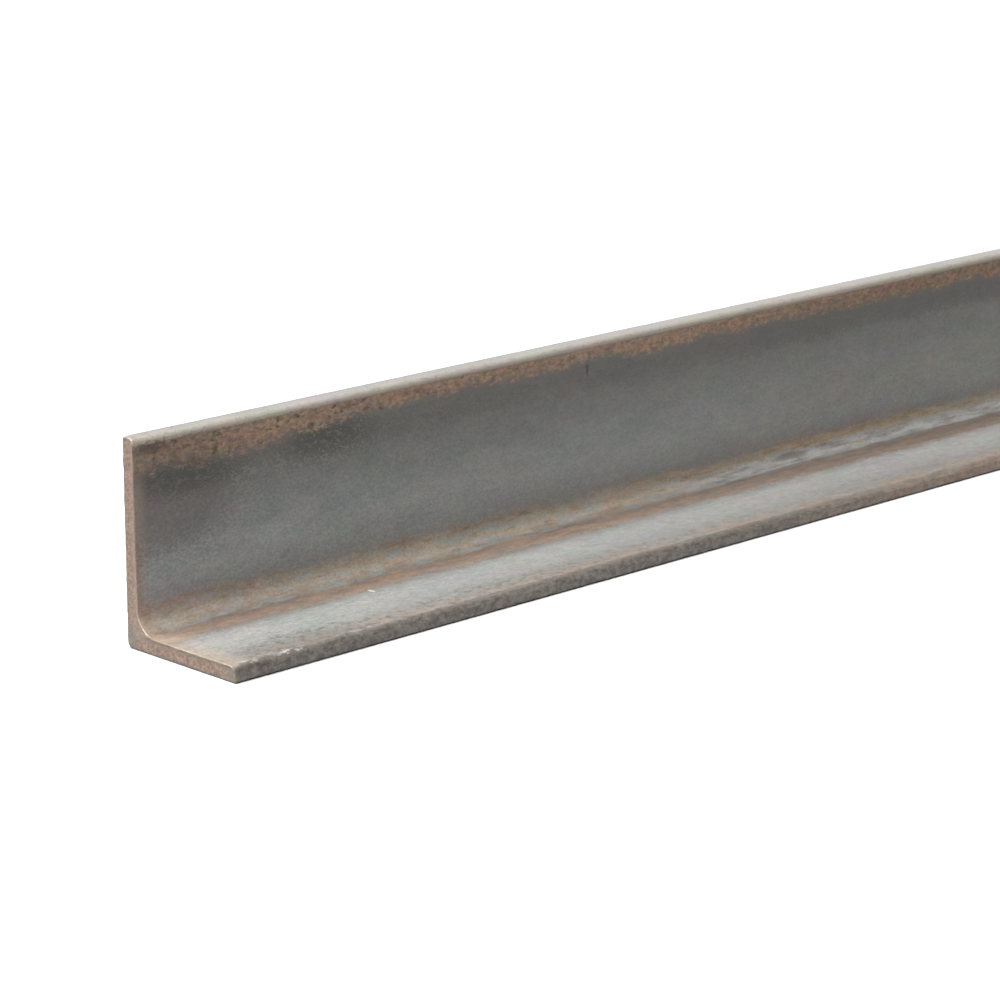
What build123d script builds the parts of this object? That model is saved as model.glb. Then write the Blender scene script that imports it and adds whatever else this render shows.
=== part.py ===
from build123d import *

import os

# One bar of hot-rolled steel angle with unequal legs, cropped to a stock length.
# The bar runs along X. Its flat leg lies on Z = 0 and points towards -Y, and its upright leg
# stands at the back with its outer face towards +Y. The origin is under the bar's middle.

# Driving dimensions, in millimetres
LENGTH = 1000.0
UPRIGHT_LEG = 65.0  # outside height, over the heel
FLAT_LEG = 50.0  # outside width, over the heel
THICKNESS = 5.0  # of both legs, whose sides are parallel
ROOT_RADIUS = 8.0  # hollow fillet between the legs' inner faces
TOE_RADIUS = 2.0  # where each leg's inner face turns into its toe
TIP_RADIUS = 0.8  # where each leg's outer face turns into its toe
HEEL_RADIUS = 2.0  # where the two outer faces meet
END_ROUNDING = 0.5  # the edge that the shear draws down all round each cut end

# A thin leg has less room for the two roundings of its toe
toe_radius = min(TOE_RADIUS, 0.6 * THICKNESS)
tip_radius = min(TIP_RADIUS, 0.3 * THICKNESS)

# Places in the section, in the sketch's own coordinates: along Y, then along Z
BACK = FLAT_LEG / 2
FRONT = -FLAT_LEG / 2
HEEL = (BACK, 0.0)
UPRIGHT_TIP = (BACK, UPRIGHT_LEG)
UPRIGHT_TOE = (BACK - THICKNESS, UPRIGHT_LEG)
ROOT = (BACK - THICKNESS, THICKNESS)
FLAT_TOE = (FRONT, THICKNESS)
FLAT_TIP = (FRONT, 0.0)

os.makedirs("parts", exist_ok=True)

with BuildPart() as angle_section:
    with BuildSketch(Plane.YZ.offset(-LENGTH / 2)):
        with BuildLine():
            FilletPolyline(
                HEEL,
                UPRIGHT_TIP,
                UPRIGHT_TOE,
                ROOT,
                FLAT_TOE,
                FLAT_TIP,
                radius=(HEEL_RADIUS, tip_radius, toe_radius, ROOT_RADIUS, toe_radius, tip_radius),
                close=True,
            )
        make_face()
    extrude(amount=LENGTH)
    cut_ends = angle_section.faces().filter_by(Axis.X)
    fillet(cut_ends.edges(), END_ROUNDING)

angle_section.part.label = "angle_section"
export_step(angle_section.part, "parts/angle_section.step")
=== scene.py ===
import math
from functools import reduce
from types import SimpleNamespace

import bmesh
import bpy
from bpy.props import FloatProperty, FloatVectorProperty, PointerProperty
from mathutils import Euler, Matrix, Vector, noise


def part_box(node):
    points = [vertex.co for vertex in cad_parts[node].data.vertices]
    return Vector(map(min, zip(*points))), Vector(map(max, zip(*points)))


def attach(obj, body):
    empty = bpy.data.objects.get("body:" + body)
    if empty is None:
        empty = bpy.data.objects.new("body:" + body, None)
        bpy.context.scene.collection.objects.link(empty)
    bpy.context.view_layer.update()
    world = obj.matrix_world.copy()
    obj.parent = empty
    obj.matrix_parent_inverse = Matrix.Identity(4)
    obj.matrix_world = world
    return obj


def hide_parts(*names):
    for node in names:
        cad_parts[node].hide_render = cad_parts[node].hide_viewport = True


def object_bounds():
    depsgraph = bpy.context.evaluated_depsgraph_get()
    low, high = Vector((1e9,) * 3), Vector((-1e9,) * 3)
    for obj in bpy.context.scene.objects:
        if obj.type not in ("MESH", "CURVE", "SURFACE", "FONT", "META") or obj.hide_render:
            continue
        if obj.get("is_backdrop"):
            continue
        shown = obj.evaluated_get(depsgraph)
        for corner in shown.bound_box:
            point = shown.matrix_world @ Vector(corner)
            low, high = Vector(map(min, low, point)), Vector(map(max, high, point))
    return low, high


bl_info = {
    "name": "Steel Angle Bar",
    "version": (1, 0, 0),
    "blender": (4, 5, 0),
    "location": "View3D > Sidebar > Angle Bar",
    "description": "Builds a hot-rolled steel angle bar with mill scale, rust and sheared ends",
    "category": "Object",
}

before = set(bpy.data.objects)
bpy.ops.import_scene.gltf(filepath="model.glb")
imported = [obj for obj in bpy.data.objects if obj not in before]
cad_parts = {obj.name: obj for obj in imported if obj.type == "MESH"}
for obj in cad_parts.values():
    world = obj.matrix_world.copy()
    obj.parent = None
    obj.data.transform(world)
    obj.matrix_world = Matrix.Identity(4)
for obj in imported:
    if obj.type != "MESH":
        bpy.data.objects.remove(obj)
CAD_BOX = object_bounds()
LOW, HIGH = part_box("angle_section")
MM = 0.001

# ---------------------------------------------------------------- fixed values

SMALL_ROUND = 4  # faces round a toe, a tip or the heel
ROOT_ROUND = 9  # faces round the root
RING_GROWTH = 1.012  # how much wider each ring by a cut end is than the one before it
END_FACING = 0.9  # a normal that leans further than this along the bar is a cut end's
RIM_WIDTH = 1.6  # width of the rim round a cut end, in end roundings
CUT_SNAP = 1e-6  # verts this near a cut are taken as on it
SWELL_OCTAVES = (0.9, 2.0, 3)  # falloff, growth and number of the octaves in a swell
BURR_LEAN = 0.1  # a burr moves verts whose normals lean further than this across the bar

# The square map: its side, the gap between its strips, and the step from one cut end to the other
MAP_SIDE = 0.512
MAP_GAP = 0.003
MAP_END_STEP = 0.08

# How deep the shear draws the outer faces down, and the heights between which the flat toe is worn
OUTER_SKIN = 1.2 * MM
TOE_FOOT = LOW.z + 2.5 * MM
TOE_HEAD = LOW.z + 8 * MM

# Lumps on the flat leg's toe: distance from the left end and from the toe, length and width
TOE_BURRS = (
    (3.5 * MM, 1.2 * MM, 2.2 * MM, 1.2 * MM),
    (8.5 * MM, 1.4 * MM, 2.5 * MM, 1 * MM),
    (38 * MM, 1.3 * MM, 4 * MM, 0.8 * MM),
)

# Roughness, metallic, and the strength and depth of the fine relief
SCALE_ROUGH, RUST_ROUGH, CUT_ROUGH = 0.52, 0.8, 0.65
SCALE_METAL, RUST_METAL, CUT_METAL = 0.35, 0.03, 0.15
SCALE_RELIEF = (0.4, 0.2 * MM)
CUT_RELIEF = (0.5, 0.3 * MM)

# Colours of rust and soot
RUST_DARK = (0.055, 0.042, 0.033)
# The next colour, a thin rust line, also paints the shadow under the flat leg's rim on the cut ends.
RUST_LINE_AND_SHADOW = (0.15, 0.112, 0.08)
RUST_THIN = (0.405, 0.312, 0.215)
SOOT = (0.043, 0.046, 0.04)
SOOT_FLECK = (0.15, 0.148, 0.134)
UMBER = (0.115, 0.1, 0.094)

# Colours of the upright leg
TIP_EDGE = (0.155, 0.152, 0.146)
# The next two colours are rubbed scale on the tip's inner rounding, painted paler as well: painted light
# where the rounding turns from the light.
TIP_BEIGE_WEAR_AND_LIGHT = (0.37, 0.345, 0.31)
TIP_LIP_WEAR_AND_LIGHT = (0.465, 0.43, 0.378)
TIP_FOOT = (0.35, 0.3, 0.25)
TIP_SPECK = (0.17, 0.145, 0.12)
# The foot of the inner face: pale scale, and painted bounce light from the shelf.
FACE_FOOT_AND_BOUNCE_LIGHT = (0.302, 0.306, 0.302)

# Colours of the root, and of the steel that shows in it
ROOT_TOP = (0.318, 0.3, 0.28)
ROOT_PALE = (0.385, 0.376, 0.348)
ROOT_LOW = (0.254, 0.242, 0.22)
ROOT_BROWN = (0.165, 0.149, 0.132)
STEEL_DULL = (0.26, 0.28, 0.285)
STEEL_STREAK = (0.24, 0.226, 0.21)
STEEL_GREY = (0.365, 0.362, 0.348)

# Colours of the flat leg
SHELF_GREY = (0.195, 0.195, 0.186)
SHELF_DIRT = (0.168, 0.163, 0.15)
SHELF_BEIGE = (0.178, 0.16, 0.143)
TOE_LIGHT = (0.205, 0.182, 0.158)
TOE_BROWN = (0.155, 0.139, 0.123)
TOE_DARK = (0.097, 0.087, 0.077)
TOE_SPECK = (0.085, 0.078, 0.069)
TOE_GRIME = (0.132, 0.128, 0.116)
BURR_BRIGHT = (0.34, 0.33, 0.31)

# Colours of the cut ends, and of the rim beside them from the inner face round to the shelf
RIM_FACE = (0.235, 0.182, 0.147)
RIM_ROOT = (0.38, 0.285, 0.22)
RIM_FOOT = (0.18, 0.135, 0.098)
RIM_SHELF = (0.256, 0.213, 0.173)
CORNER_GREY = (0.165, 0.157, 0.138)

# Tints about 0.5 grey at levels of a noise
ROOT_TINTS = (
    (0.08, (0.37, 0.33, 0.3)),
    (0.35, (0.58, 0.46, 0.38)),
    (0.55, (0.56, 0.51, 0.455)),
    (0.72, (0.5, 0.5, 0.48)),
    (0.95, (0.51, 0.56, 0.61)),
)
GRIME_TINTS = ((0.12, (0.39, 0.41, 0.44)), (0.5, (0.52, 0.5, 0.48)), (0.88, (0.68, 0.57, 0.47)))

# What dims a colour where it is multiplied by one of these
FACE_FADE = (0.95, 0.92, 0.87)
SHELF_FADE = (0.8, 0.79, 0.79)
# The next factor paints shade on the flat leg's toe rounding.
TOE_ROUND_SHADE = (0.7, 0.7, 0.69)
RUST_FADE = (0.84, 0.81, 0.78)
ROOT_FADE = (0.58, 0.6, 0.6)
STEEL_FADE = (0.66, 0.66, 0.66)

# The stage
FLOOR_REACH = 20
OVERHEAD_TILT = (math.radians(-8), math.radians(-17), 0)
OVERHEAD_SPREAD = math.radians(45)
BACK_LIGHT_PLACE = (1.5, 1.7, 0.9)
BACK_LIGHT_SIZE = (4, 1.6)
SENSOR_WIDTH = 36

# ---------------------------------------------------------------- sizes and colours to change


def length_field(name, description, default):
    """A length that the user can change."""
    return FloatProperty(name=name, description=description, default=default, unit="LENGTH")


def colour_field(name, description, default):
    """A colour that the user can change."""
    return FloatVectorProperty(name=name, description=description, default=default, subtype="COLOR")


class AngleBarSizes(bpy.types.PropertyGroup):
    """The rolled section, its cut ends and how finely the bar is modelled"""

    thickness: length_field("Thickness", "Thickness of both legs", 5 * MM)
    root_radius: length_field("Root Radius", "Fillet between the inner faces", 8 * MM)
    toe_radius: length_field("Toe Radius", "Rounding on the inside of each toe", 2 * MM)
    tip_radius: length_field("Tip Radius", "Rounding on the outside of each toe", 0.8 * MM)
    heel_radius: length_field("Heel Radius", "Rounding where the outer faces meet", 2 * MM)
    end_rounding: length_field("End Rounding", "Rounding that the shear leaves on a cut edge", 0.5 * MM)
    cell: length_field("Cell", "Width of a face round the section", 1.6 * MM)
    ring_step: length_field("Ring Step", "Distance between rings along the bar", 3 * MM)
    first_step: length_field("First Step", "Distance from a cut end to its first ring", 0.9 * MM)
    waves: length_field("Waves", "Depth of the rolled faces' slow waves", 0.06 * MM)
    pitting: length_field("Pitting", "Depth of the hollows in the scale", 0.05 * MM)
    toe_wear: length_field("Toe Wear", "How far the flat leg's toe is rounded off", 0.45 * MM)
    nicks: length_field("Nicks", "Depth of the small knocks along the toes", 0.4 * MM)
    torn_cell: length_field("Torn Cell", "Size of the cells on the cut ends", 1.2 * MM)
    torn_depth: length_field("Torn Depth", "Depth of the hollows on the cut ends", 0.3 * MM)
    burr: length_field("Burr", "Height of the burr round a cut end's inner edge", 0.25 * MM)
    toe_burr: length_field("Toe Burr", "Height of the lumps on the toe by the left end", 0.4 * MM)
    draw_down: length_field("Draw Down", "How far the shear draws down the outer faces", 0.2 * MM)


class AngleBarFinish(bpy.types.PropertyGroup):
    """The colours of the scale, the rust and the cut steel"""

    tip: colour_field("Tip", "Worn scale on the upright leg's tip", (0.195, 0.192, 0.184))
    # Down the inner face these scale colours grow paler: the scale's own tone, with painted shade near the
    # tip and painted bounce light from the shelf towards the root.
    scale_dark_and_shade: colour_field("Dark Scale", "Scale near the tip", (0.122, 0.117, 0.107))
    scale_grey: colour_field("Grey Scale", "Scale halfway down the upright leg", (0.178, 0.18, 0.174))
    scale_pale_and_bounce_light: colour_field("Pale Scale", "Scale above the root", (0.283, 0.29, 0.284))
    shelf: colour_field("Shelf", "Worn scale on the flat leg", (0.24, 0.241, 0.231))
    base: colour_field("Base", "Scale on the back and the underside", (0.16, 0.155, 0.148))
    rust: colour_field("Rust", "Thin rust below the tip", (0.264, 0.18, 0.13))
    rust_orange: colour_field("Orange Rust", "Fresh rust in patches", (0.31, 0.19, 0.12))
    rust_root: colour_field("Root Rust", "Rust where the root meets the shelf", (0.155, 0.114, 0.088))
    steel: colour_field("Bare Steel", "Steel that shows through in the root", (0.47, 0.475, 0.465))
    cut: colour_field("Cut", "Rust on the sheared ends", (0.205, 0.142, 0.108))
    cut_beige: colour_field("Cut Beige", "Paler steel on the sheared ends", (0.225, 0.186, 0.145))


class AngleBarStage(bpy.types.PropertyGroup):
    """The floor, the light and the camera"""

    floor_colour: colour_field("Floor Colour", "Colour of the floor", (0.4, 0.4, 0.4))
    room_light: FloatProperty(name="Room Light", description="Strength of the light all round", default=0.1)
    overhead_light: FloatProperty(
        name="Overhead Light", description="Strength of the soft light from above", default=11
    )
    back_light: FloatProperty(
        name="Back Light", description="Power of the panel behind the bar", default=20, unit="POWER"
    )
    lens: FloatProperty(
        name="Lens", description="Focal length in millimetres", default=130.26, unit="CAMERA"
    )
    azimuth: FloatProperty(
        name="Azimuth",
        description="Where the camera stands round the bar",
        default=math.radians(-44.124),
        unit="ROTATION",
    )
    elevation: FloatProperty(
        name="Elevation",
        description="How far the camera looks down",
        default=math.radians(15.041),
        unit="ROTATION",
    )
    camera_place: FloatVectorProperty(
        name="Camera Place",
        description="Where the camera stands",
        default=(-1.13772, -0.79229, 0.32245),
        unit="LENGTH",
    )


# ---------------------------------------------------------------- shape


def corner_rounds(sizes):
    """Each corner of the section as (y, z, radius, faces), from the heel round by the upright leg."""
    back, front = HIGH.y, LOW.y
    web, shelf = back - sizes.thickness, LOW.z + sizes.thickness
    return [
        (back, LOW.z, sizes.heel_radius, SMALL_ROUND),
        (back, HIGH.z, sizes.tip_radius, SMALL_ROUND),
        (web, HIGH.z, sizes.toe_radius, SMALL_ROUND),
        (web, shelf, sizes.root_radius, ROOT_ROUND),
        (front, shelf, sizes.toe_radius, SMALL_ROUND),
        (front, LOW.z, sizes.tip_radius, SMALL_ROUND),
    ]


def girth_marks(sizes):
    """Where the section's parts end round it, in millimetres, from the middle of the outer tip."""
    height, width = (HIGH.z - LOW.z) / MM, (HIGH.y - LOW.y) / MM
    thickness, root, toe = sizes.thickness / MM, sizes.root_radius / MM, sizes.toe_radius / MM
    tip, heel = sizes.tip_radius / MM, sizes.heel_radius / MM
    quarter = math.pi / 2
    runs = [
        ("face", quarter * tip / 2 + (thickness - tip - toe) + quarter * toe),
        ("root", height - thickness - toe - root),
        ("shelf", quarter * root),
        ("toe", width - thickness - toe - root),
        ("base", quarter * toe + (thickness - tip - toe) + quarter * tip),
        ("heel", width - tip - heel),
        ("back", quarter * heel),
        ("whole", height - tip - heel + quarter * tip / 2),
    ]
    marks, girth = SimpleNamespace(), 0.0
    for name, run in runs:
        girth += run
        setattr(marks, name, girth)
    return marks


def section_face(bm, sizes):
    """Draws the rounded L across the bar's left end and cuts its outline into cells."""
    corners = corner_rounds(sizes)
    verts = [bm.verts.new((LOW.x, y, z)) for y, z, _, _ in corners]
    edges = [bm.edges.new(pair) for pair in zip(verts, verts[1:] + verts[:1])]
    bmesh.ops.contextual_create(bm, geom=edges)
    for y, z, radius, faces in corners:
        place = Vector((LOW.x, y, z))
        vert = min(bm.verts, key=lambda v: (v.co - place).length)
        bmesh.ops.bevel(
            bm,
            geom=[vert],
            offset=radius,
            segments=faces,
            profile=0.5,
            affect="VERTICES",
            material=-1,
        )
    for edge in bm.edges[:]:
        cuts = math.ceil(edge.calc_length() / sizes.cell - 0.5) - 1
        if cuts > 0:
            bmesh.ops.subdivide_edges(bm, edges=[edge], cuts=cuts)


def outline_ring(bm):
    """The outline's verts in order, from the upright leg's outer tip over its toe."""
    start = max(bm.verts, key=lambda v: v.co.y + v.co.z)
    loop = next(iter(start.link_loops))
    ring = [start]
    while len(ring) < len(bm.verts):
        loop = loop.link_loop_next
        ring.append(loop.vert)
    if ring[1].co.y > ring[-1].co.y:
        ring[1:] = reversed(ring[1:])
    return ring


def mark_girth(bm, layer):
    """Writes each outline vert's distance round the section. Returns the outline with those distances."""
    ring = outline_ring(bm)
    outline = []
    distance = 0.0
    for here, ahead in zip(ring, ring[1:] + ring[:1]):
        here[layer] = distance
        outline.append((here.co.copy(), distance))
        distance += (ahead.co - here.co).length
    outline.append((ring[0].co.copy(), distance))
    return outline


def ring_places(sizes):
    """Where the rings stand along the bar: close together by each cut end, and one at its middle."""
    steps = [sizes.first_step]
    while steps[-1] < sizes.ring_step:
        steps.append(steps[-1] * RING_GROWTH)
    near = [sum(steps[:i]) for i in range(len(steps) + 1)]
    span = HIGH.x - LOW.x - 2 * near[-1]
    count = 2 * math.ceil(span / sizes.ring_step / 2)
    middle = [LOW.x + near[-1] + span * i / count for i in range(1, count)]
    return [LOW.x + d for d in near] + middle + [HIGH.x - d for d in reversed(near)]


def roll_out(bm, sizes):
    """Draws the section out along the bar and cuts its long faces into rings."""
    places = ring_places(sizes)
    made = bmesh.ops.extrude_face_region(bm, geom=bm.faces[:], use_keep_orig=True)["geom"]
    far = [g for g in made if isinstance(g, bmesh.types.BMVert)]
    bmesh.ops.translate(bm, verts=far, vec=(len(places) - 1, 0, 0))
    long_edges = [e for e in bm.edges if e.verts[0].co.x != e.verts[1].co.x]
    bmesh.ops.subdivide_edges(bm, edges=long_edges, cuts=len(places) - 2, use_grid_fill=True)
    for vert in bm.verts:
        vert.co.x = places[round(vert.co.x - LOW.x)]
    bmesh.ops.recalc_face_normals(bm, faces=bm.faces[:])


def faces_end(part):
    """Whether a face or a vert faces along the bar, as the cut ends do."""
    return abs(part.normal.x) > END_FACING


def crop_ends(bm, sizes):
    """Cuts the two sheared faces into cells inside a rim, and rounds the edge all round each."""
    core = bm.faces.layers.int.new("core")
    ends = [f for f in bm.faces if faces_end(f)]
    bmesh.ops.inset_region(bm, faces=ends, thickness=sizes.end_rounding * RIM_WIDTH, use_even_offset=True)
    for face in ends:
        face[core] = 1
    for axis in (Vector((0, 1, 0)), Vector((0, 0, 1))):
        low, high = LOW.dot(axis), HIGH.dot(axis)
        cells = round((high - low) / sizes.torn_cell)
        for i in range(1, cells):
            inner = [f for f in bm.faces if f[core]]
            geom = {g for f in inner for g in (f, *f.edges, *f.verts)}
            bmesh.ops.bisect_plane(
                bm,
                geom=list(geom),
                dist=CUT_SNAP,
                plane_co=axis * (low + (high - low) * i / cells),
                plane_no=axis,
            )
    bm.normal_update()
    rim = [e for e in bm.edges if len({faces_end(f) for f in e.link_faces}) == 2]
    bmesh.ops.bevel(
        bm,
        geom=rim,
        offset=sizes.end_rounding,
        offset_type="OFFSET",
        segments=3,
        profile=0.5,
        affect="EDGES",
        material=-1,
    )


def girth_at(place, outline):
    """The girth of the outline's nearest point."""
    spot = Vector((LOW.x, place.y, place.z))
    best = None
    for (start, s0), (end, s1) in zip(outline, outline[1:]):
        along = min(max((spot - start).dot(end - start) / (end - start).length_squared, 0), 1)
        gap = (start.lerp(end, along) - spot).length
        if best is None or gap < best[0]:
            best = (gap, s0 + (s1 - s0) * along)
    return best[1]


def lay_maps(bm, layer, outline, sizes):
    """Lays the Girth map, in metres, and a square map that stacks the bar's two halves and its ends."""
    girth = outline[-1][1]
    by_end = HIGH.x - sizes.first_step / 2
    for vert in bm.verts:
        if abs(vert.co.x) > by_end:
            vert[layer] = girth_at(vert.co, outline)
    around = bm.loops.layers.uv.new("Girth")
    packed = bm.loops.layers.uv.new("OFBake")
    strip = girth + MAP_GAP
    bm.normal_update()
    for face in bm.faces:
        right = face.calc_center_median().x > 0
        cut = faces_end(face)
        face.material_index = int(cut)
        # On a face across the outline's start, the girth runs on past the whole
        across_start = max(v[layer] for v in face.verts) > girth * 0.75
        for loop in face.loops:
            place, s = loop.vert.co, loop.vert[layer]
            if across_start and s < girth * 0.25:
                s += girth
            loop[around].uv = (place.x, s)
            if cut:
                spot = Vector((place.z - LOW.z + right * MAP_END_STEP, place.y - LOW.y + 2 * strip))
            elif right:
                spot = Vector((place.x, s + strip))
            else:
                spot = Vector((place.x - LOW.x, s))
            loop[packed].uv = (spot + Vector((MAP_GAP, MAP_GAP)) / 2) / MAP_SIDE


def swell(place, length, width, seed):
    """Smooth noise from 0 to 1 with features of this length along the bar and width across it."""
    spot = Vector((place.x / length, place.y / width + seed, place.z / width - seed))
    return min(max(noise.fractal(spot, *SWELL_OCTAVES) * 0.5 + 0.5, 0.0), 1.0)


def by_cut(place, reach):
    """1 at a cut end, falling to nothing over about twice this reach."""
    gap = min(place.x - LOW.x, HIGH.x - place.x)
    return math.exp(-((gap / reach) ** 2))


def sunk_depth(vert, sizes):
    """How far a vert lies below the true section."""
    place, normal = vert.co, vert.normal
    if faces_end(vert):
        return sizes.torn_depth * swell(place, 4 * MM, 3 * MM, seed=5.5)
    depth = sizes.waves * swell(place, 70 * MM, 30 * MM, seed=3.1)
    depth += sizes.pitting * max(swell(place, 8 * MM, 5 * MM, seed=7.7) - 0.5, 0) * 2
    from_toe = min(HIGH.z - place.z, place.y - LOW.y)
    if TOE_FOOT < place.z < TOE_HEAD and from_toe < 4 * MM:
        rounded = abs(2 * normal.y * normal.z)
        depth += sizes.toe_wear * rounded * (0.5 + swell(place, 12 * MM, 50 * MM, seed=1.3))
    knocked = 0.9 if place.z < TOE_HEAD else 0.3
    knock = max(swell(place, 3.5 * MM, 6 * MM, seed=4.4) - 0.5, 0) * knocked
    depth += sizes.nicks * max(1 - from_toe / (2 * MM), 0) * knock
    drawn = sizes.draw_down * by_cut(place, 1.6 * MM)
    if place.y > HIGH.y - OUTER_SKIN:
        depth += drawn * (0.5 + swell(place, 100 * MM, 8 * MM, seed=2.2))
    elif place.z < LOW.z + OUTER_SKIN:
        depth += drawn * 0.4
    return depth


def burr_height(place, sizes):
    """How far the shear's burr and the lumps by the toe stand up from the inner faces."""
    web, shelf = HIGH.y - sizes.thickness, LOW.z + sizes.thickness
    beside_web = LOW.y + 0.5 * MM < place.y < web + 0.1 * MM
    if not (beside_web and shelf - 1 * MM < place.z < HIGH.z - 3 * MM):
        return 0.0
    height = sizes.burr * by_cut(place, 1.1 * MM) * swell(place, 20 * MM, 6 * MM, seed=9.1)
    for from_end, from_toe, length, width in TOE_BURRS:
        along, across = place.x - LOW.x - from_end, place.y - LOW.y - from_toe
        height += sizes.toe_burr * math.exp(-((along / length) ** 2 + (across / width) ** 2))
    return height


def weather(bm, sizes):
    """Gives the rolled faces waves, hollows and worn toes, and the cut ends torn, burred edges."""
    bm.normal_update()
    for vert in bm.verts:
        vert.normal_update()
    moved = []
    for vert in bm.verts:
        across = Vector((0, vert.normal.y, vert.normal.z))
        move = -vert.normal * sunk_depth(vert, sizes)
        if across.length > BURR_LEAN:
            move += across.normalized() * burr_height(vert.co, sizes)
        moved.append(vert.co + move)
    for vert, place in zip(bm.verts, moved):
        vert.co = [min(max(c, low), high) for c, low, high in zip(place, LOW, HIGH)]


def new_piece(name, bm, materials):
    """Makes a bmesh into an object with these materials."""
    mesh = bpy.data.meshes.new(name)
    bm.to_mesh(mesh)
    bm.free()
    for material in materials:
        mesh.materials.append(material)
    piece = bpy.data.objects.new(name, mesh)
    bpy.context.scene.collection.objects.link(piece)
    return piece


# ---------------------------------------------------------------- nodes


class Nodes:
    """A shader tree, and the ways in which nodes are added to it."""

    def __init__(self, tree):
        self.tree = tree

    def plug(self, socket, value):
        """Links an input to another node's socket, or sets it. A colour is given without its alpha."""
        if isinstance(value, bpy.types.NodeSocket):
            self.tree.links.new(value, socket)
        else:
            socket.default_value = (*value, 1) if socket.type == "RGBA" else value

    def add(self, kind, inputs=None, **settings):
        """Adds a node with these settings, and plugs its inputs."""
        node = self.tree.nodes.new("ShaderNode" + kind)
        for name, value in settings.items():
            setattr(node, name, value)
        for name, value in (inputs or {}).items():
            self.plug(node.inputs[name], value)
        return node

    def use(self, group, **inputs):
        """Places a node group and plugs its inputs, whose names are given with _ for a space."""
        named = {name.replace("_", " "): value for name, value in inputs.items()}
        return self.add("Group", named, node_tree=group).outputs

    def calc(self, operation, *values):
        """The result of a Math node."""
        return self.add("Math", dict(enumerate(values)), operation=operation).outputs[0]

    def times(self, *values):
        """The values multiplied together."""
        return reduce(lambda one, other: self.calc("MULTIPLY", one, other), values)

    def either(self, *masks):
        """The largest of the masks."""
        return reduce(lambda one, other: self.calc("MAXIMUM", one, other), masks)

    def swing(self, value, reach):
        """A value from 0 to 1 as one about 0, this far from end to end."""
        return self.times(self.calc("SUBTRACT", value, 0.5), reach)

    def fade(self, value, low, high, out_low=0.0, out_high=1.0):
        """A smooth step: out_low below low, out_high above high."""
        inputs = {"Value": value, "From Min": low, "From Max": high, "To Min": out_low, "To Max": out_high}
        return self.add("MapRange", inputs, interpolation_type="SMOOTHSTEP").outputs[0]

    def ramp(self, factor, stops):
        """A colour ramp through (place from 0 to 1, colour) stops."""
        node = self.add("ValToRGB", {0: factor})
        elements = node.color_ramp.elements
        while len(elements) < len(stops):
            elements.new(1.0)
        for element, (place, colour) in zip(elements, stops):
            element.position = place
            element.color = (*colour, 1)
        return node.outputs[0]

    def blend(self, mask, below, above, mode="MIX"):
        """One colour laid over another where the mask is 1."""
        inputs = {0: mask, 6: below, 7: above}
        return self.add("Mix", inputs, data_type="RGBA", blend_type=mode).outputs[2]

    def lay(self, colour, mask, over, share=1.0):
        """Lays a share of another colour over this one inside a mask."""
        return self.blend(self.times(mask, share), colour, over)

    def dim(self, colour, mask, factor):
        """Multiplies a colour by a constant one inside a mask."""
        return self.blend(mask, colour, self.blend(1.0, colour, factor, "MULTIPLY"))

    def shade(self, colour, tint, strength):
        """Multiplies a colour by a tint about 0.5 grey, turned into one about 1."""
        level = self.blend(strength, (0.5, 0.5, 0.5), tint)
        level = self.blend(1.0, level, (2, 2, 2), "MULTIPLY")
        return self.blend(1.0, colour, level, "MULTIPLY")

    def vary(self, colour, value, strength):
        """Lightens and darkens a colour with a noise."""
        grey = self.add("CombineXYZ", {0: value, 1: value, 2: value}).outputs[0]
        return self.shade(colour, grey, strength)

    def place_in_mm(self):
        """The place on the object, in millimetres."""
        place = self.add("TexCoord").outputs["Object"]
        return self.add("VectorMath", {0: place, "Scale": 1 / MM}, operation="SCALE").outputs[0]

    def noise(self, mottle, place, length, width, detail, seed, roughness=0.55):
        """Noise with features of this length along the bar and width across it, in millimetres."""
        features = {"Length": length, "Width": width, "Detail": detail, "Seed": seed, "Roughness": roughness}
        return self.use(mottle, Place=place, **features)


# ---------------------------------------------------------------- node groups


def new_group(name, inputs, outputs):
    """An empty node group and its two ends. A socket is given as its kind, or as a number's default."""
    group = bpy.data.node_groups.new(name, "ShaderNodeTree")
    for side, sockets in (("INPUT", inputs), ("OUTPUT", outputs)):
        for label, given in sockets.items():
            kind = given if isinstance(given, str) else "Float"
            socket = group.interface.new_socket(label, in_out=side, socket_type="NodeSocket" + kind)
            if kind != given:
                socket.default_value = given
    into, out = group.nodes.new("NodeGroupInput"), group.nodes.new("NodeGroupOutput")
    return Nodes(group), into.outputs, out.inputs


def mottle_group():
    """Noise from 0 to 1, with features of one length along the bar and one width across it."""
    inputs = {"Place": "Vector", "Length": 10.0, "Width": 10.0, "Detail": 3.0, "Roughness": 0.55, "Seed": 0.0}
    nodes, into, out = new_group("Mottle", inputs, {"Value": "Float", "Tint": "Color"})
    across = nodes.calc("DIVIDE", 1.0, into["Width"])
    along = nodes.calc("DIVIDE", 1.0, into["Length"])
    scale = nodes.add("CombineXYZ", {"X": along, "Y": across, "Z": across}).outputs[0]
    spot = nodes.add("VectorMath", {0: into["Place"], 1: scale}, operation="MULTIPLY").outputs[0]
    features = {"Detail": into["Detail"], "Roughness": into["Roughness"]}
    octaves = {"Vector": spot, "W": into["Seed"], "Scale": 1.0, **features}
    grain = nodes.add("TexNoise", octaves, noise_dimensions="4D").outputs
    nodes.plug(out["Value"], nodes.fade(grain[0], 0.25, 0.75))
    nodes.plug(out["Tint"], grain[1])
    return nodes.tree


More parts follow.
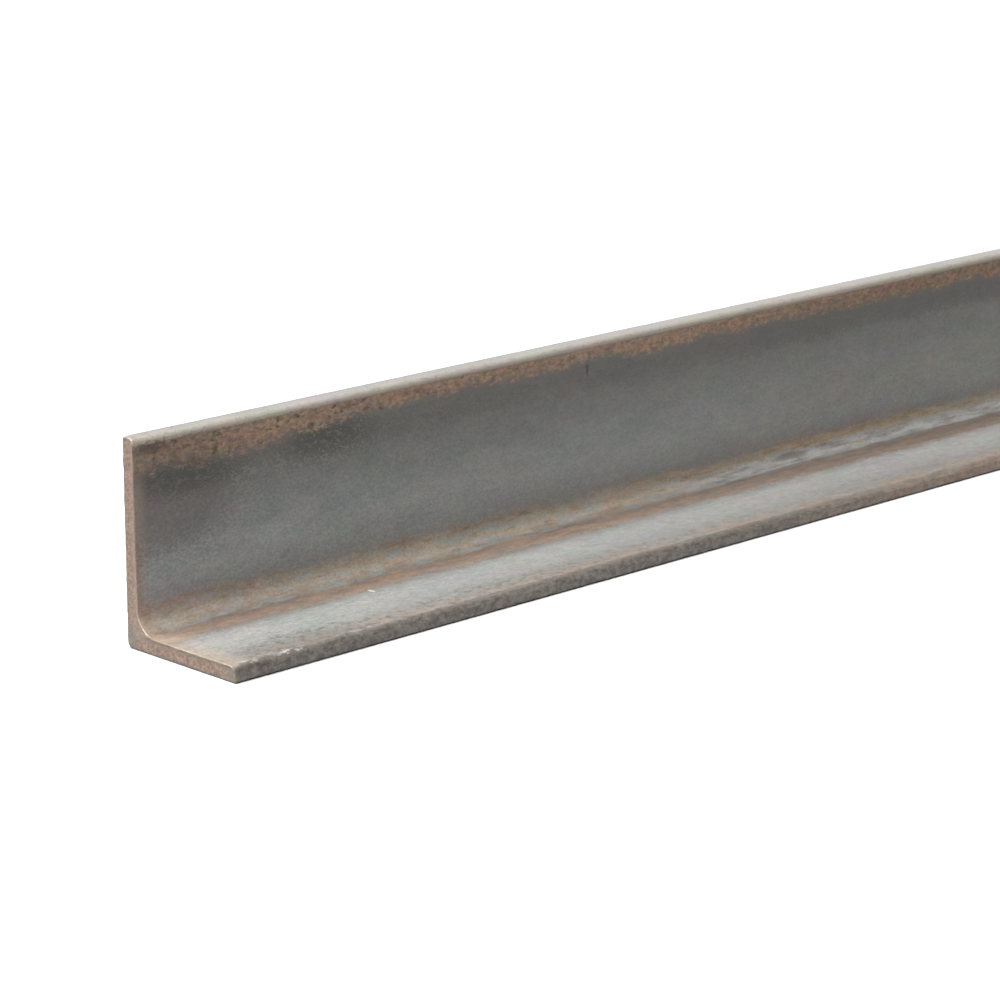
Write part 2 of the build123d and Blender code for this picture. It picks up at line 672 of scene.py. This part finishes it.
def edge_group():
    """A step across the section at one girth. It wanders with one noise and is broken up by another."""
    step = {"Girth": 0.0, "At": 0.0, "Softness": 1.0}
    noises = {"Wander": 0.5, "Reach": 0.0, "Grain": 0.5, "Breakup": 0.0}
    nodes, into, out = new_group("Girth Edge", {**step, **noises}, {"Mask": "Float"})
    wander = nodes.swing(into["Wander"], into["Reach"])
    past = nodes.calc("ADD", nodes.calc("SUBTRACT", into["Girth"], into["At"]), wander)
    level = nodes.calc("ADD", nodes.calc("DIVIDE", past, into["Softness"]), 0.5)
    level = nodes.calc("MINIMUM", nodes.calc("MAXIMUM", level, 0.0), 1.0)
    halfway = nodes.times(level, nodes.calc("SUBTRACT", 1.0, level), 4.0)
    chips = nodes.times(nodes.swing(into["Grain"], into["Breakup"]), halfway)
    nodes.plug(out["Mask"], nodes.fade(nodes.calc("ADD", level, chips), 0.2, 0.8))
    return nodes.tree


def stain_group():
    """A blotch at one place of the surface, whose outline is broken up by a noise."""
    places = {"Along": 0.0, "Girth": 0.0, "At Along": 0.0, "At Girth": 0.0}
    sizes = {"Half Length": 10.0, "Half Width": 5.0, "Grain": 0.5, "Breakup": 0.5}
    nodes, into, out = new_group("Stain", {**places, **sizes}, {"Mask": "Float"})
    run = nodes.calc("DIVIDE", nodes.calc("SUBTRACT", into["Along"], into["At Along"]), into["Half Length"])
    rise = nodes.calc("DIVIDE", nodes.calc("SUBTRACT", into["Girth"], into["At Girth"]), into["Half Width"])
    squares = nodes.calc("ADD", nodes.calc("POWER", run, 2.0), nodes.calc("POWER", rise, 2.0))
    chips = nodes.swing(into["Grain"], into["Breakup"])
    away = nodes.calc("ADD", nodes.calc("SQRT", squares), chips)
    nodes.plug(out["Mask"], nodes.fade(away, 0.5, 1.2, 1.0, 0.0))
    return nodes.tree


def rust_group(mottle, orange):
    """Thin rust: a tone that turns orange, pinkish or dark in patches."""
    inputs = {"Place": "Vector", "Tone": "Color", "Orange": 0.5, "Tint": 0.34}
    nodes, into, out = new_group("Rust", inputs, {"Colour": "Color"})
    patch = nodes.noise(mottle, into["Place"], 13.0, 3.0, 5.0, 1.0, 0.65)
    colour = nodes.lay(into["Tone"], nodes.fade(patch["Value"], 0.4, 1.0), orange, into["Orange"])
    colour = nodes.shade(colour, patch["Tint"], into["Tint"])
    fine = nodes.noise(mottle, into["Place"], 2.2, 1.4, 4.0, 4.0, 0.7)["Value"]
    nodes.plug(out["Colour"], nodes.vary(colour, fine, 0.42))
    return nodes.tree


# ---------------------------------------------------------------- finish


class RolledSurface(Nodes):
    """The rolled surface's tree, with its places in millimetres and the noises that layers share."""

    def __init__(self, tree, groups, marks):
        super().__init__(tree)
        self.groups = groups
        self.marks = marks
        self.place = self.place_in_mm()
        around = self.add("SeparateXYZ", {0: self.add("UVMap", uv_map="Girth").outputs[0]}).outputs
        self.run = self.times(self.calc("SUBTRACT", around["X"], LOW.x), 1 / MM)
        self.girth = self.times(around["Y"], 1 / MM)
        right_gap = self.calc("SUBTRACT", (HIGH.x - LOW.x) / MM, self.run)
        self.end_gap = self.calc("MINIMUM", self.run, right_gap)
        self.grain = self.patches(1.1, 0.75, 3.0, 2.0, 0.7)["Value"]
        self.chips = self.patches(4.5, 2.2, 6.0, 6.0, 0.75)["Value"]
        coarse_part = self.calc("MULTIPLY_ADD", self.chips, 0.75, -0.25)
        self.ragged = self.calc("ADD", coarse_part, self.times(self.grain, 0.75))
        self.drift = self.patches(24.0, 60.0, 3.0, 9.0)["Value"]
        self.blotch = self.patches(18.0, 9.0, 3.0, 11.0)
        self.streak = self.patches(12.0, 2.2, 5.0, 8.0, 0.65)

    def patches(self, *features):
        """Noise with this length, width, detail, seed and roughness."""
        return self.noise(self.groups.mottle, self.place, *features)

    def by_run(self, *levels):
        """A value that changes between two distances from the left end."""
        return self.fade(self.run, *levels)

    def by_girth(self, *levels):
        """A value that changes between two places round the section."""
        return self.fade(self.girth, *levels)

    def band(self, low, high, low_soft, high_soft, reach=0.0, breakup=0.0):
        """A band along the bar between two places round the section."""
        shared = {"Wander": self.drift, "Reach": reach, "Grain": self.ragged, "Breakup": breakup}
        edge = self.groups.edge
        rise = self.use(edge, Girth=self.girth, At=low, Softness=low_soft, **shared)["Mask"]
        fall = self.use(edge, Girth=self.girth, At=high, Softness=high_soft, **shared)["Mask"]
        return self.times(rise, self.calc("SUBTRACT", 1.0, fall))

    def stain(self, run, girth, half_length, half_width, breakup):
        """A blotch this far from the left end and round the section."""
        place = {"Along": self.run, "Girth": self.girth, "At_Along": run, "At_Girth": girth}
        size = {"Half_Length": half_length, "Half_Width": half_width}
        return self.use(self.groups.stain, **place, **size, Grain=self.ragged, Breakup=breakup)["Mask"]

    def tones(self, girth, stops):
        """The colour at a girth, from (girth, colour) stops."""
        whole = self.marks.whole
        return self.ramp(self.calc("DIVIDE", girth, whole), [(place / whole, tone) for place, tone in stops])


def girth_tones(marks, finish):
    """The scale's tone at places round the section, in millimetres; some stops also paint light and shade."""
    return [
        (0.0, finish.tip),
        (marks.face - 2.8, finish.tip),
        # Paler stops on the tip's inner rounding: rubbed scale, and painted light where the rounding turns
        # from the light.
        (marks.face - 1.4, TIP_BEIGE_WEAR_AND_LIGHT),
        (marks.face - 0.8, TIP_LIP_WEAR_AND_LIGHT),
        (marks.face, TIP_FOOT),
        (marks.face + 0.8, RUST_LINE_AND_SHADOW),
        # Down the inner face: the scale's own tones, with painted shade near the tip giving way to painted
        # bounce light towards the root.
        (marks.face + 1.7, finish.scale_dark_and_shade),
        (marks.face + 11.0, finish.scale_dark_and_shade),
        (marks.face + 24.0, finish.scale_grey),
        (marks.root - 11.0, finish.scale_pale_and_bounce_light),
        (marks.root - 4.0, FACE_FOOT_AND_BOUNCE_LIGHT),
        (marks.root, ROOT_TOP),
        (marks.root + 4.0, ROOT_PALE),
        (marks.root + 6.2, ROOT_PALE),
        (marks.root + 8.2, ROOT_LOW),
        (marks.shelf - 2.5, ROOT_BROWN),
        (marks.shelf + 3.5, ROOT_BROWN),
        (marks.shelf + 9.0, finish.shelf),
        (marks.shelf + 13.5, finish.shelf),
        (marks.toe - 13.5, SHELF_GREY),
        (marks.toe - 7.5, SHELF_DIRT),
        (marks.toe - 3.0, SHELF_BEIGE),
        (marks.toe, SHELF_BEIGE),
        (marks.toe + 2.5, TOE_BROWN),
        (marks.base, TOE_BROWN),
        (marks.base + 6.0, finish.base),
        (marks.whole - 5.3, finish.base),
        (marks.whole - 0.8, finish.tip),
    ]


def scale_layer(surface, finish):
    """Mill scale in the tones of each part of the section, mottled, and duller far from the left end; its
    tones also paint light on the tip's rounding, and shade and bounce light down the inner face.
    """
    marks, blotch = surface.marks, surface.blotch
    inner = surface.by_girth(marks.face + 6, marks.face + 14)
    inner = surface.times(inner, surface.by_girth(marks.toe - 15.5, marks.toe - 7.5, 1, 0))
    sway = surface.times(surface.swing(blotch["Value"], 2.2), inner)
    colour = surface.tones(surface.calc("ADD", surface.girth, sway), girth_tones(marks, finish))
    colour = surface.shade(colour, blotch["Tint"], 0.1)
    colour = surface.vary(colour, surface.patches(70.0, 22.0, 3.0, 0.0)["Value"], 0.025)
    colour = surface.vary(colour, blotch["Value"], surface.by_run(70, 150, 0.05, 0.018))
    colour = surface.vary(colour, surface.chips, surface.by_girth(marks.root + 8, marks.shelf + 5, 0.1, 0.16))
    colour = surface.shade(colour, surface.streak["Tint"], 0.08)
    edge = surface.band(-1, 1.5, 0.5, 0.8)
    colour = surface.lay(colour, edge, TIP_EDGE, surface.by_run(100, 350, 1.0, 0.0))
    specks = surface.times(surface.band(-1, marks.face, 1, 1), surface.fade(surface.ragged, 0.5, 0.8))
    colour = surface.lay(colour, specks, TIP_SPECK, 0.5)
    low_face = surface.band(marks.root - 22, marks.root - 8, 12, 8)
    colour = surface.dim(colour, surface.times(low_face, surface.by_run(230, 330)), FACE_FADE)
    on_shelf = surface.band(marks.shelf - 4.5, marks.toe + 0.5, 8, 1)
    return surface.dim(colour, surface.times(on_shelf, surface.by_run(50, 330)), SHELF_FADE)


def soot_layer(surface, colour):
    """Dark burnt scale under the tip's rust in two blots by the left end, and a faint dark band further on.
    """
    face = surface.marks.face
    umber = surface.stain(12, face + 20, 32, 17, 0.25)
    colour = surface.lay(colour, umber, UMBER, 0.6)
    near, next_blot = surface.stain(20, face + 13, 28, 7, 1.4), surface.stain(76, face + 10.5, 25, 7, 1.5)
    flecks = surface.ramp(surface.ragged, [(0.14, SOOT_FLECK), (0.34, UMBER), (0.58, SOOT)])
    colour = surface.lay(colour, surface.either(near, next_blot), flecks, 0.85)
    # A faint dark band just below the tip's rust, stronger further from the left end.
    faint = surface.band(face + 6, face + 15, 3, 6, 3, 0.5)
    colour = surface.lay(colour, faint, SOOT, surface.by_run(230, 320, 0.06, 0.24))
    tick = surface.stain(190, face + 7.5, 0.9, 3.2, 0.5)
    return surface.lay(colour, tick, SOOT, 0.7)


def tip_rust_layer(surface, colour, rusty):
    """A band of rust below the tip, widest by the cut ends, with dark pits. Returns its mask too."""
    face = surface.marks.face
    foot = surface.fade(surface.end_gap, 45, 95, face + 9.0, face + 5.2)
    foot = surface.calc("ADD", foot, surface.by_run(230, 330, 0.0, 0.9))
    softness = surface.fade(surface.end_gap, 45, 95, 7.0, 4.0)
    top = surface.band(face + 0.9, face + 30, 0.7, 1.0, 0.3)
    mask = surface.times(top, surface.band(0, foot, 1.0, softness, 3.0, 1.5))
    rusty = surface.dim(rusty, surface.by_run(230, 330), RUST_FADE)
    colour = surface.lay(colour, mask, rusty, 0.96)
    pits = surface.fade(surface.patches(3.2, 2.0, 4.0, 27.0, 0.6)["Value"], 0.6, 0.85)
    pits = surface.times(pits, surface.by_run(80, 170, 1.0, 0.3))
    cracks = surface.fade(surface.ragged, 0.6, 0.85, 0.0, 0.6)
    dark = surface.times(mask, surface.either(pits, cracks))
    colour = surface.lay(colour, dark, RUST_DARK, 0.75)
    colour = surface.lay(colour, surface.stain(12, face + 6, 24, 8, 1.2), RUST_DARK, 0.26)
    return surface.lay(colour, surface.stain(6, face + 2, 9, 2.2, 0.8), RUST_DARK, 0.6), mask


def root_layer(surface, colour, finish):
    """Many-coloured scale in the root, with rust at its foot. Returns the rust's mask too."""
    root, shelf = surface.marks.root, surface.marks.shelf
    streak = surface.streak["Value"]
    hue = surface.times(surface.patches(8.0, 1.7, 5.0, 15.0, 0.7)["Value"], 0.8)
    hue = surface.calc("SUBTRACT", surface.calc("ADD", hue, surface.times(streak, 0.45)), 0.12)
    tinted = surface.shade(colour, surface.ramp(hue, ROOT_TINTS), 1.0)
    colour = surface.blend(surface.band(root - 0.5, root + 10, 4, 3, 3.0, 1.0), colour, tinted)

    foot = surface.by_run(150, 350, shelf + 4.2, shelf + 6.0)
    rust = surface.band(shelf - 3.0, foot, 3.0, 4.6, 2.4, 0.8)
    tone = surface.dim(finish.rust_root, surface.by_run(100, 380), ROOT_FADE)
    grime = surface.patches(11.0, 2.6, 4.0, 17.0, 0.65)["Value"]
    tone = surface.shade(tone, surface.ramp(grime, GRIME_TINTS), 1.0)
    colour = surface.lay(colour, rust, surface.vary(tone, surface.chips, 0.2), 0.9)

    islands = surface.patches(9.0, 2.4, 3.0, 13.0)["Value"]
    near = surface.band(root + 6.8, root + 9.2, 1.6, 1.8, 0.8, 0.5)
    near = surface.times(near, surface.fade(islands, 0.5, 0.72), surface.by_run(200, 260, 1.0, 0.3))
    colour = surface.lay(colour, near, surface.vary(STEEL_DULL, streak, 0.3), 0.75)
    far = surface.band(root + 3.6, root + 8.7, 1.5, 1.2, 1.2, 0.8)
    far = surface.times(far, surface.fade(islands, 0.0, 0.3), surface.by_run(205, 260))
    steel = surface.ramp(streak, [(0.15, STEEL_STREAK), (0.45, STEEL_GREY), (0.8, finish.steel)])
    steel = surface.dim(steel, surface.by_girth(root + 5.5, root + 9), STEEL_FADE)
    colour = surface.lay(colour, far, steel, 0.85)
    under = surface.band(root + 8.4, root + 10, 0.8, 0.8, 0.8)
    colour = surface.lay(colour, surface.times(under, surface.by_run(225, 260)), UMBER, 0.45)

    line = surface.band(root + 0.4, root + 2.8, 1.6, 1.4, 1.6, 1.0)
    line = surface.times(line, surface.by_run(170, 270), surface.fade(surface.drift, 0.15, 0.6, 0.3, 1.0))
    return surface.lay(colour, line, surface.vary(RUST_THIN, streak, 0.3), 0.75), rust


def toe_layer(surface, colour, finish, rusty):
    """Grime, specks and warm rust along the flat leg's toe, painted shade on its rounding, and bright burrs
    by the left end.
    """
    toe = surface.marks.toe
    coarse = surface.patches(3.4, 2.4, 3.0, 21.0, 0.6)["Value"]
    small = surface.patches(2.2, 1.5, 3.0, 23.0, 0.6)["Value"]
    grime = surface.stain(30, toe - 5.5, 26, 7, 1.0)
    further = surface.times(surface.stain(140, toe - 6, 48, 6, 0.8), surface.fade(surface.chips, 0.35, 0.7))
    colour = surface.lay(colour, surface.either(grime, further), TOE_GRIME, 0.6)
    dirt = surface.band(toe - 9.5, toe + 1.5, 9, 0.8, 5.0)
    dirt = surface.either(dirt, surface.stain(30, toe - 4.5, 30, 10, 1.0))
    away = surface.fade(surface.end_gap, 5, 13)
    specks = surface.times(dirt, away, surface.fade(coarse, 0.45, 0.85))
    colour = surface.lay(colour, specks, TOE_SPECK, surface.by_run(80, 250, 0.7, 0.4))
    warm = surface.band(toe - 4.5, toe + 1.5, 5, 0.8, 3.0, 1.0)
    warm = surface.times(warm, surface.fade(surface.blotch["Value"], 0.3, 0.8))
    tone = surface.vary(finish.rust_root, surface.chips, 0.3)
    colour = surface.lay(colour, warm, tone, surface.by_run(120, 300, 0.25, 0.65))

    head = surface.by_run(200, 320, toe + 0.8, toe + 1.6)
    face = surface.band(head, surface.marks.base + 0.4, 2.0, 1.5, 0.4, 0.4)
    tone = surface.ramp(small, [(0.15, TOE_LIGHT), (0.5, TOE_BROWN), (0.85, TOE_DARK)])
    tone = surface.blend(surface.by_run(200, 350, 0.0, 0.5), tone, rusty)
    colour = surface.lay(colour, face, tone, 0.9)
    # Painted shade on the flat leg's toe rounding, strongest by the left end.
    toe_round_shade = surface.band(toe - 0.6, toe + 2.6, 1.2, 1.2, 0.6, 0.4)
    colour = surface.dim(colour, surface.times(toe_round_shade, surface.by_run(220, 330, 1.0, 0.3)), TOE_ROUND_SHADE)
    burrs = surface.stain(6, toe - 0.5, 5, 1.6, 1.6), surface.stain(22, toe - 0.1, 6, 1.2, 1.6)
    burrs = surface.times(surface.either(*burrs), surface.fade(coarse, 0.55, 0.25))
    colour = surface.lay(colour, burrs, BURR_BRIGHT, 0.8)
    scratch = surface.stain(81, surface.marks.shelf + 6.2, 0.8, 1.6, 0.4)
    return surface.lay(colour, scratch, finish.steel)


def outer_rust_layer(surface, colour, rusty):
    """Rust at the heel and the outer tip, and freckles over the outer faces. Returns its mask too."""
    marks = surface.marks
    heel = surface.band(marks.heel - 8, marks.heel + 9, 8, 9, 5.0, 1.5)
    outer_tip = surface.band(marks.whole - 11, marks.whole - 1.5, 9, 1, 4.0, 1.5)
    outside = surface.band(marks.base + 1, marks.whole - 1, 1, 1)
    freckles = surface.times(surface.fade(surface.chips, 0.72, 0.95), outside, 0.6)
    mask = surface.either(heel, outer_tip, freckles)
    return surface.lay(colour, mask, rusty, 0.8), mask


def cut_rim_layer(surface, colour):
    """Rusty beige beside the cut ends, where the shear broke the scale away."""
    face, root, toe = surface.marks.face, surface.marks.root, surface.marks.toe
    width = surface.by_girth(root - 4, root + 6, 4.0, 7.5)
    width = surface.times(width, surface.by_girth(toe - 3.5, toe + 2.5, 1, 0.2))
    gap = surface.calc("ADD", surface.end_gap, surface.swing(surface.ragged, 3.0))
    mask = surface.fade(surface.calc("DIVIDE", gap, width), 0.25, 1.5, 1.0, 0.0)
    stops = [
        (root - 16, RIM_FACE),
        (root + 3, RIM_ROOT),
        (root + 5, RIM_ROOT),
        (root + 9.5, RIM_FOOT),
        (root + 14.5, RIM_FOOT),
        (surface.marks.shelf + 12, RIM_SHELF),
    ]
    tone = surface.vary(surface.tones(surface.girth, stops), surface.chips, 0.2)
    colour = surface.lay(colour, mask, tone, surface.by_girth(face + 6, face + 18, 0.25, 0.8))
    worn = surface.fade(surface.end_gap, 0.3, 0.9, 1.0, 0.0)
    worn = surface.times(worn, surface.fade(surface.chips, 0.55, 0.8))
    return surface.lay(colour, worn, RUST_LINE_AND_SHADOW, 0.6)


def new_material(name):
    """A material with an empty tree."""
    material = bpy.data.materials.new(name)
    material.use_nodes = True
    material.node_tree.nodes.clear()
    return material


def finish_tree(nodes, colour, roughness, metallic, height, relief):
    """Puts the fine relief, the shader and the output at the end of a material's tree."""
    strength, depth = relief
    normal = nodes.add("Bump", {"Strength": strength, "Distance": depth, "Height": height}).outputs[0]
    inputs = {"Base Color": colour, "Roughness": roughness, "Metallic": metallic, "Normal": normal}
    shader = nodes.add("BsdfPrincipled", inputs).outputs[0]
    nodes.add("OutputMaterial", {"Surface": shader}, is_active_output=True)


def mill_scale_material(groups, marks, finish):
    """Grey mill scale, worn pale on the shelf, with rust where the tip, the root and the toe hold damp."""
    material = new_material("Mill Scale")
    surface = RolledSurface(material.node_tree, groups, marks)
    orange = surface.by_run(70, 150, 0.25, 0.7)
    rusty = surface.use(groups.rust, Place=surface.place, Tone=finish.rust, Orange=orange)["Colour"]
    colour = scale_layer(surface, finish)
    colour = soot_layer(surface, colour)
    colour, tip_rust = tip_rust_layer(surface, colour, rusty)
    colour, root_rust = root_layer(surface, colour, finish)
    colour = toe_layer(surface, colour, finish, rusty)
    colour, outer_rust = outer_rust_layer(surface, colour, rusty)
    colour = cut_rim_layer(surface, colour)
    colour = surface.vary(colour, surface.grain, surface.by_run(80, 200, 0.2, 0.13))

    rust = surface.either(tip_rust, root_rust, outer_rust)
    rough = surface.fade(rust, 0.0, 1.0, SCALE_ROUGH, RUST_ROUGH)
    metal = surface.fade(rust, 0.0, 1.0, SCALE_METAL, RUST_METAL)
    height = surface.calc("ADD", surface.times(surface.grain, 0.6), surface.times(surface.chips, rust))
    finish_tree(surface, colour, rough, metal, height, SCALE_RELIEF)
    return material


def sheared_material(groups, finish):
    """The torn steel of a cropped end, lightly rusted, greyer at its corners and along its outer edge, with
    painted shadow under the flat leg's top rim.
    """
    material = new_material("Sheared End")
    nodes = Nodes(material.node_tree)
    place = nodes.place_in_mm()
    axes = nodes.add("SeparateXYZ", {0: place}).outputs
    y, z = axes["Y"], axes["Z"]
    colour = nodes.use(groups.rust, Place=place, Tone=finish.cut, Orange=0.1, Tint=0.18)["Colour"]
    grain = nodes.noise(groups.mottle, place, 1.0, 1.0, 4.0, 2.0, 0.7)["Value"]
    patch = nodes.noise(groups.mottle, place, 5.0, 4.0, 3.0, 3.0)["Value"]
    outer_gap = nodes.calc("MINIMUM", nodes.calc("SUBTRACT", HIGH.y / MM, y), z)
    inward = nodes.calc("ADD", outer_gap, patch)
    colour = nodes.lay(colour, nodes.fade(inward, 3.0, 5.0), finish.cut_beige, 0.6)
    heel = nodes.times(nodes.fade(y, 18, 24), nodes.fade(z, 12, 4))
    colour = nodes.lay(colour, nodes.either(heel, nodes.fade(y, -19, -23)), CORNER_GREY, 0.7)
    # A strip of dark scale along the cut end's outer edges.
    colour = nodes.lay(colour, nodes.fade(inward, 0.9, 1.9, 1.0, 0.0), finish.scale_dark_and_shade, 0.5)
    # Painted shadow: a ragged dark band along the top of the flat leg's cut face, under its rim.
    torn_line = nodes.calc("MULTIPLY_ADD", grain, 1.6, nodes.calc("SUBTRACT", z, 0.8))
    shadow_under_rim = nodes.times(nodes.fade(torn_line, 3.3, 4.1), nodes.fade(y, 18, 12))
    colour = nodes.lay(colour, shadow_under_rim, RUST_LINE_AND_SHADOW, nodes.fade(patch, 0.2, 0.6, 0.3, 0.75))
    colour = nodes.vary(colour, grain, 0.22)
    finish_tree(nodes, colour, CUT_ROUGH, CUT_METAL, grain, CUT_RELIEF)
    return material


# ---------------------------------------------------------------- stage


def add_light(name, kind, strength, rotation, place=(0, 0, 0)):
    """Puts a light in the scene. Returns its settings."""
    light = bpy.data.lights.new(name, kind)
    light.energy = strength
    lamp = bpy.data.objects.new(name, light)
    lamp.location = place
    lamp.rotation_euler = rotation
    bpy.context.scene.collection.objects.link(lamp)
    return light


def pale_material(colour):
    """The floor's matt colour."""
    material = bpy.data.materials.new("Pale Floor")
    material.use_nodes = True
    inputs = material.node_tree.nodes["Principled BSDF"].inputs
    inputs["Base Color"].default_value = (*colour, 1)
    inputs["Roughness"].default_value = 0.9
    inputs["Specular IOR Level"].default_value = 0.0
    return material


# ---------------------------------------------------------------- operators


class ANGLEBAR_OT_build(bpy.types.Operator):
    """Models the bar and gives it its mill scale"""

    bl_idname = "anglebar.build"
    bl_label = "Build Angle Bar"

    def execute(self, context):
        sizes, finish = context.scene.angle_bar_sizes, context.scene.angle_bar_finish
        bm = bmesh.new()
        layer = bm.verts.layers.float.new("girth")
        section_face(bm, sizes)
        outline = mark_girth(bm, layer)
        roll_out(bm, sizes)
        crop_ends(bm, sizes)
        lay_maps(bm, layer, outline, sizes)
        weather(bm, sizes)
        for face in bm.faces:
            face.smooth = True
        groups = SimpleNamespace(mottle=mottle_group(), edge=edge_group(), stain=stain_group())
        groups.rust = rust_group(groups.mottle, finish.rust_orange)
        scale = mill_scale_material(groups, girth_marks(sizes), finish)
        bar = new_piece("angle_bar", bm, [scale, sheared_material(groups, finish)])
        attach(bar, "root")
        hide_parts("angle_section")
        return {"FINISHED"}


class ANGLEBAR_OT_stage(bpy.types.Operator):
    """Sets the bar on a pale floor under soft light, with a camera"""

    bl_idname = "anglebar.stage"
    bl_label = "Set Stage"

    def execute(self, context):
        scene, look = context.scene, context.scene.angle_bar_stage
        bm = bmesh.new()
        bmesh.ops.create_grid(bm, x_segments=1, y_segments=1, size=FLOOR_REACH)
        floor = new_piece("floor", bm, [pale_material(look.floor_colour)])
        floor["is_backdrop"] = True

        scene.world = bpy.data.worlds.new("Soft Room")
        scene.world.use_nodes = True
        background = scene.world.node_tree.nodes["Background"].inputs
        background["Color"].default_value = (1, 1, 1, 1)
        background["Strength"].default_value = look.room_light
        sun = add_light("overhead_light", "SUN", look.overhead_light, OVERHEAD_TILT)
        sun.angle = OVERHEAD_SPREAD
        towards_bar = (-Vector(BACK_LIGHT_PLACE)).to_track_quat("-Z", "Y").to_euler()
        panel = add_light("back_light", "AREA", look.back_light, towards_bar, BACK_LIGHT_PLACE)
        panel.shape = "RECTANGLE"
        panel.size, panel.size_y = BACK_LIGHT_SIZE

        camera = bpy.data.cameras.new("Camera")
        camera.sensor_width = SENSOR_WIDTH
        camera.lens = look.lens
        scene.camera = bpy.data.objects.new("camera", camera)
        scene.camera.location = look.camera_place
        scene.camera.rotation_euler = Euler((math.pi / 2 - look.elevation, 0, look.azimuth))
        scene.collection.objects.link(scene.camera)
        scene.view_settings.view_transform = "Standard"
        return {"FINISHED"}


class ANGLEBAR_PT_sidebar(bpy.types.Panel):
    """Lists the bar's sizes and the operators that make it"""

    bl_label = "Angle Bar"
    bl_idname = "ANGLEBAR_PT_sidebar"
    bl_space_type = "VIEW_3D"
    bl_region_type = "UI"
    bl_category = "Angle Bar"

    def draw(self, context):
        scene = context.scene
        for holder in (scene.angle_bar_sizes, scene.angle_bar_finish, scene.angle_bar_stage):
            for name in holder.__annotations__:
                self.layout.prop(holder, name)
        self.layout.operator(ANGLEBAR_OT_build.bl_idname)
        self.layout.operator(ANGLEBAR_OT_stage.bl_idname)


CLASSES = (
    AngleBarSizes,
    AngleBarFinish,
    AngleBarStage,
    ANGLEBAR_OT_build,
    ANGLEBAR_OT_stage,
    ANGLEBAR_PT_sidebar,
)


def register():
    """Registers the classes and gives the scene their settings."""
    for cls in CLASSES:
        bpy.utils.register_class(cls)
    bpy.types.Scene.angle_bar_sizes = PointerProperty(type=AngleBarSizes)
    bpy.types.Scene.angle_bar_finish = PointerProperty(type=AngleBarFinish)
    bpy.types.Scene.angle_bar_stage = PointerProperty(type=AngleBarStage)


def unregister():
    """Takes back what register did."""
    del bpy.types.Scene.angle_bar_stage
    del bpy.types.Scene.angle_bar_finish
    del bpy.types.Scene.angle_bar_sizes
    for cls in reversed(CLASSES):
        bpy.utils.unregister_class(cls)


def write_size():
    """Gathers the CAD model's box and the visual model's into a table, which is not kept."""
    boxes = {"cad": CAD_BOX, "visual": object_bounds()}
    {name: [list(corner) for corner in box] for name, box in boxes.items()}


def main():
    """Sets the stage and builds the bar."""
    register()
    bpy.ops.anglebar.stage()
    bpy.ops.anglebar.build()
    write_size()


if __name__ == "__main__":
    main()
